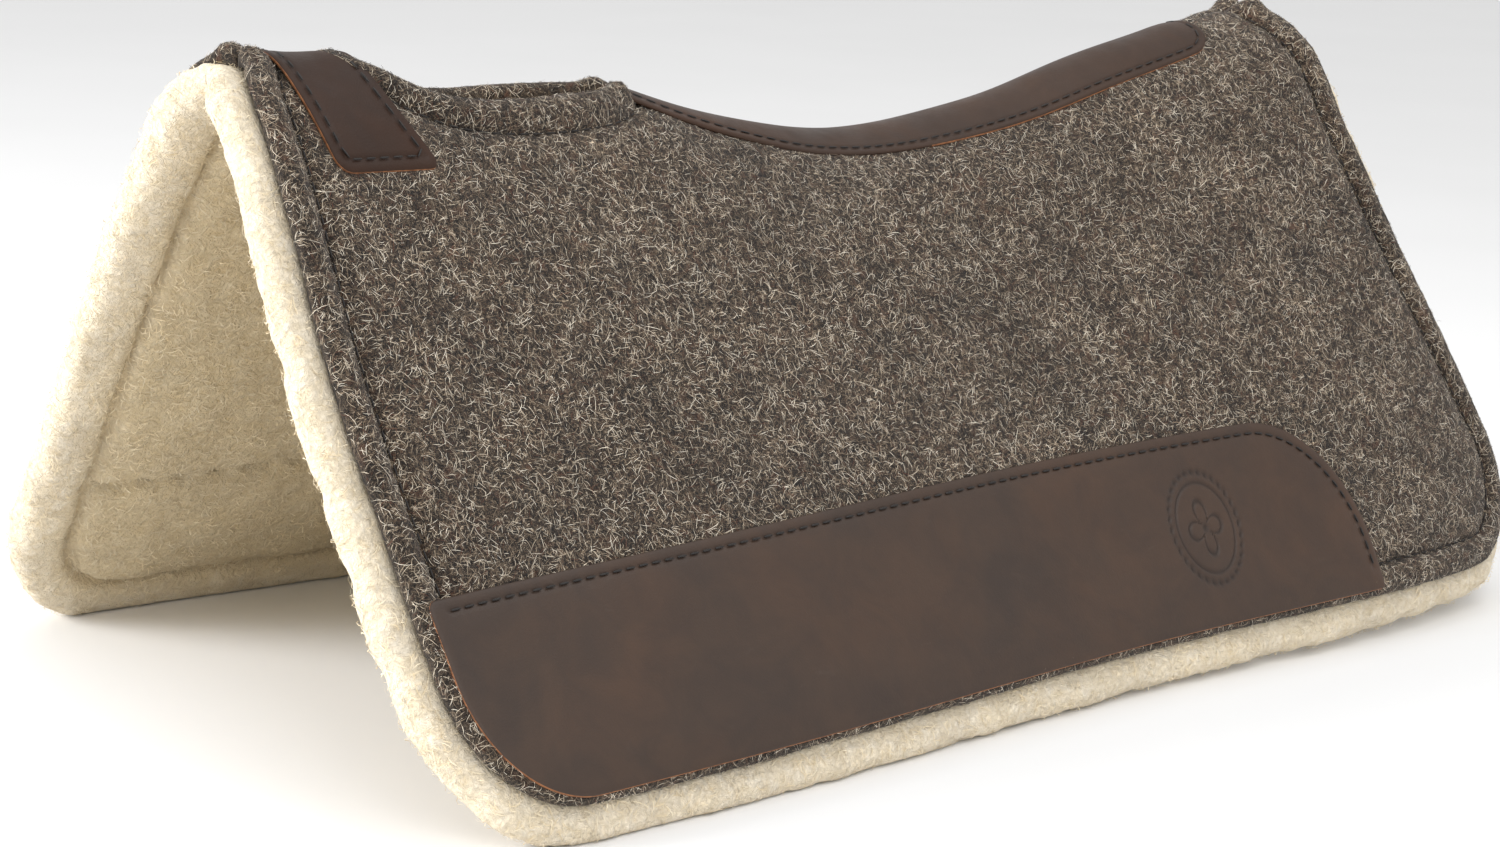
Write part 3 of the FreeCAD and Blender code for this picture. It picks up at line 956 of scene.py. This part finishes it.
def fibres(name, obj, count, length, width, lift, curl, material, seed, where=None):
    """Curved ribbons scattered over an object's faces, as one object.

    length, width and lift are in millimetres, curl in radians; where gives each triangle's
    share from the way it faces."""
    rng = np.random.default_rng(seed)
    mesh = obj.data
    mesh.calc_loop_triangles()
    tri = np.zeros(len(mesh.loop_triangles) * 3, int)
    mesh.loop_triangles.foreach_get("vertices", tri)
    tri = tri.reshape(-1, 3)
    co, no = vertex_values(obj), vertex_values(obj, "normal")
    p0, p1, p2 = co[tri[:, 0]], co[tri[:, 1]], co[tri[:, 2]]
    area = np.linalg.norm(np.cross(p1 - p0, p2 - p0), axis=1)
    if where:
        area = area * where(no[tri].mean(1))
    pick = rng.choice(len(tri), count, p=area / area.sum())
    a, b = rng.random(count), rng.random(count)
    flip = a + b > 1
    a[flip], b[flip] = 1 - a[flip], 1 - b[flip]
    w = np.stack([1 - a - b, a, b], 1)
    root = (co[tri[pick]] * w[:, :, None]).sum(1)
    normal = (no[tri[pick]] * w[:, :, None]).sum(1)
    normal /= np.linalg.norm(normal, axis=1)[:, None]
    random = rng.normal(size=(count, 3))
    tangent = random - (random * normal).sum(1)[:, None] * normal
    tangent /= np.linalg.norm(tangent, axis=1)[:, None]
    across = np.cross(normal, tangent)
    size = length * MM * rng.uniform(0.45, 1.35, count)
    bend = curl * rng.normal(size=count)
    rise = lift * MM * rng.random(count)
    steps = FIBRE_STEPS
    spine = []
    at = root + normal * 0.00012 - tangent * (size / 2)[:, None]
    for k in range(steps + 1):
        t = k / steps
        arch = normal * (rise * math.sin(math.pi * t))[:, None]
        spine.append(at + arch)
        heading = tangent * np.cos(bend * t)[:, None] + across * np.sin(bend * t)[:, None]
        at = at + heading * (size / steps)[:, None]
    half = width * MM / 2
    verts = []
    for k, p in enumerate(spine):
        taper = 1.0 if 0 < k < steps else 0.35
        side = across * half * taper
        verts += [p - side, p + side]
    verts = np.stack(verts, 1)
    verts[:, :, 2] = np.maximum(verts[:, :, 2], GROUND_REACH)
    base = np.arange(count)[:, None] * (2 * (steps + 1))
    quads = [(2 * k, 2 * k + 1, 2 * k + 3, 2 * k + 2) for k in range(steps)]
    faces = np.concatenate([base + np.array(q)[None] for q in quads])
    made = new_object(name, verts.reshape(-1, 3), faces, material)
    set_attribute(made, "tone", np.repeat(rng.random(count), 2 * (steps + 1)))
    return made


# ---- the pieces ------------------------------------------------------------------------------
SIDES = (("left", -1.0), ("right", 1.0))


def across_fold(obj, slot, *nodes):
    """A piece near the spine, on neither half: its placement is baked into its mesh and the parts it
    replaces are hidden.
    """
    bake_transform(obj)
    stands_for(obj, slot, *nodes)


def on_half(obj, word, slot, *nodes):
    """A piece clear of the spine, which moves with its half."""
    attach(obj, word + "_half")
    stands_for(obj, slot, *nodes)


def stands_for(obj, slot, *nodes):
    if nodes:
        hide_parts(*nodes)


def strap_polygon():
    """The wither strap's outline in (x, v), v negative on the left."""
    run = resample(below_ridge(STRAP_OUTLINE), 2.0)
    return np.concatenate([run[:-1], run[::-1][:-1] * [1, -1]])


def no_crown(points):
    """The wither strap lies flat on the felt."""
    return np.zeros(len(points))


def spine_crown(points):
    """The spine strip swells over the seam between the halves."""
    return 1.6 * np.clip(1 - (points[:, 1] / 30.0) ** 2, 0, 1)


def wear_crown(points):
    """The wear leather stands a little proud all over."""
    return np.full(len(points), 0.8)


def wear_raw(points):
    """The front and lower edges are left raw; the stitched top and rear are burnished."""
    x = points[:, 0]
    z = SHEET.look(SHEET.z, x, points[:, 1])
    low = (z < 60.0) & (x < 268.0)
    front = (x < -340.0) & (z < 112.0) & (z < 0.3 * (x + 371) + 110)
    return low | front


def strap_raw(points):
    """The strap's front edge and lower ends are left raw."""
    return (points[:, 0] < -345.0) | (np.abs(points[:, 1]) > 58.0)


def spine_raw(points):
    """The spine strip is left raw over its rear part."""
    return points[:, 0] > 60.0


def facing_out(side):
    """Picks a half's outer face and top, where the felt is seen."""
    return lambda facing: (facing[:, 1] * side > 0.05) | (facing[:, 2] > 0.15)


felts = {}
fleeces = {}
for word, side in SIDES:
    felts[word] = felt_top(side, word + "_felt_top")
    fleeces[word] = fleece_liner(side, word + "_fleece_liner")
    insert = felt_insert(side, word + "_felt_insert")
    wear = leather_piece(word + "_wear_leather", side, WEAR, WEAR_LIFT, wear_crown, WEAR_SEAMS,
                         wear_raw, LEATHER_MAT, cartouche, 5.0)
    across_fold(insert, "insert_felt", "felt_insert_" + word)
    on_half(wear, word, "leather", "wear_leather_" + word)

strap_outline = strap_polygon()
spine_outline = rounded(SPINE_OUTLINE)
strap_line = inset_loop(strap_outline, WEAR_INSET)
spine_line = inset_loop(spine_outline, SPINE_INSET)
strap = leather_piece("wither_strap", 1.0, strap_outline, STRIP_LIFT, no_crown, [strap_line],
                      strap_raw, STRAP_MAT)
spine = leather_piece("spine_strip", 1.0, spine_outline, STRIP_LIFT, spine_crown, [spine_line],
                      spine_raw, SPINE_MAT)

felt_edge, _ = half_boundary(0.0, 0.0)
edge_line = inset_loop(felt_edge, GROOVE_INSET)
edge_keep = (under_leather(edge_line) < 0.1) & (edge_line[:, 1] > 10)
edge_runs = split_runs(edge_line, edge_keep)

for word, side in SIDES:
    row = stitches(word + "_wear_stitching", WEAR_SEAMS, side, -3.5, radius=0.62)
    on_half(row, word, "thread", "wear_leather_stitching_" + word)
    row = stitches(word + "_edge_stitching", edge_runs, side, 1.2)
    across_fold(row, "thread", "edge_stitching_" + word)
    for label, line, node in (("strap", strap_line, "wither_leather_stitching_"),
                              ("spine", spine_line, "spine_leather_stitching_")):
        half = line * [1, side]
        runs = split_runs(half, half[:, 1] > SPINE_CLEAR)
        row = stitches(word + "_" + label + "_stitching", runs, side, -4.0)
        across_fold(row, "thread", node + word)

# Each set of fibres: name, count, length, width, lift, curl, material and seed.
FELT_FIBRES = (
    ("pale", 33000, 5.6, 0.20, 0.7, 0.9, PALE_FIBRE, SEED + 1),
    ("fine", 33000, 4.4, 0.17, 0.5, 0.8, PALE_FIBRE, SEED + 5),
    ("long", 4000, 9.0, 0.24, 1.2, 1.3, PALE_FIBRE, SEED + 4),
    ("dark", 33000, 5.0, 0.34, 0.8, 1.0, DARK_FIBRE, SEED + 2),
)
for word, side in SIDES:
    felt, fleece = felts[word], fleeces[word]
    for kind, *look in FELT_FIBRES:
        across_fold(fibres(word + "_felt_fibres_" + kind, felt, *look, facing_out(side)), "felt")
    pile = fibres(word + "_fleece_fibres", fleece, 33000, 7.0, 0.4, 2.2, 1.6, FLEECE_FIBRE, SEED + 3)
    across_fold(pile, "fleece")
    across_fold(felt, "felt", "felt_top_" + word)
    across_fold(fleece, "fleece", "fleece_liner_" + word)
across_fold(strap, "leather", "wither_leather")
across_fold(spine, "leather", "spine_leather")


# ---- the stage -------------------------------------------------------------------------------
FLOOR_REACH = 9.0
FLOOR_Z = -0.001
PAD_MIDDLE = (0.0, 0.0, 0.2)
SKY_STRENGTH = 0.8
LAMPS = (                                   # name, place, size in metres and watts
    ("key", (-0.9, -2.6, 1.9), 1.8, 25),
    ("top", (0.1, -0.45, 1.6), 1.1, 9),
    ("front_fill", (-2.8, 1.2, 1.1), 1.4, 110),
)


def build_stage():
    """A wide pale floor under a white sky."""
    corners = [(a * FLOOR_REACH, b * FLOOR_REACH, FLOOR_Z)
               for a, b in ((-1, -1), (1, -1), (1, 1), (-1, 1))]
    new_object("stage_floor", corners, [(0, 1, 2, 3)], floor_material())
    world = bpy.data.worlds.new("studio")
    world.use_nodes = True
    background = world.node_tree.nodes["Background"]
    background.inputs["Color"].default_value = (1.0, 1.0, 1.0, 1.0)
    background.inputs["Strength"].default_value = SKY_STRENGTH
    bpy.context.scene.world = world


def soft_light(name, at, size, watts):
    """A square lamp aimed at the middle of the pad."""
    data = bpy.data.lights.new(name, "AREA")
    data.shape = "SQUARE"
    data.size = size
    data.energy = watts
    lamp = bpy.data.objects.new(name, data)
    lamp.location = at
    lamp.rotation_euler = (Vector(PAD_MIDDLE) - Vector(at)).to_track_quat("-Z", "Y").to_euler()
    bpy.context.scene.collection.objects.link(lamp)


CAMERA_AT = (-1.2446, -1.3963, 0.5287)
CAMERA_TURN = (-40.27, -12.544, 2.75)       # yaw, pitch and roll in degrees
CAMERA_LENS = 80.13


def build_camera():
    """Seen from the front left, a little above the spine."""
    yaw, pitch, roll = np.radians(CAMERA_TURN)
    forward = Vector((-math.sin(yaw) * math.cos(pitch), math.cos(yaw) * math.cos(pitch), math.sin(pitch)))
    right = forward.cross(Vector((0, 0, 1))).normalized()
    up = right.cross(forward)
    c, s = math.cos(roll), math.sin(roll)
    right, up = right * c + up * s, up * c - right * s
    data = bpy.data.cameras.new("camera")
    data.sensor_width = 36.0
    data.lens = CAMERA_LENS
    camera = bpy.data.objects.new("camera", data)
    columns = Matrix((right, up, -forward)).transposed().to_4x4()
    camera.matrix_world = Matrix.Translation(CAMERA_AT) @ columns
    bpy.context.scene.collection.objects.link(camera)
    bpy.context.scene.camera = camera


build_stage()
for lamp in LAMPS:
    soft_light(*lamp)
build_camera()
bpy.context.scene.view_settings.view_transform = "Standard"
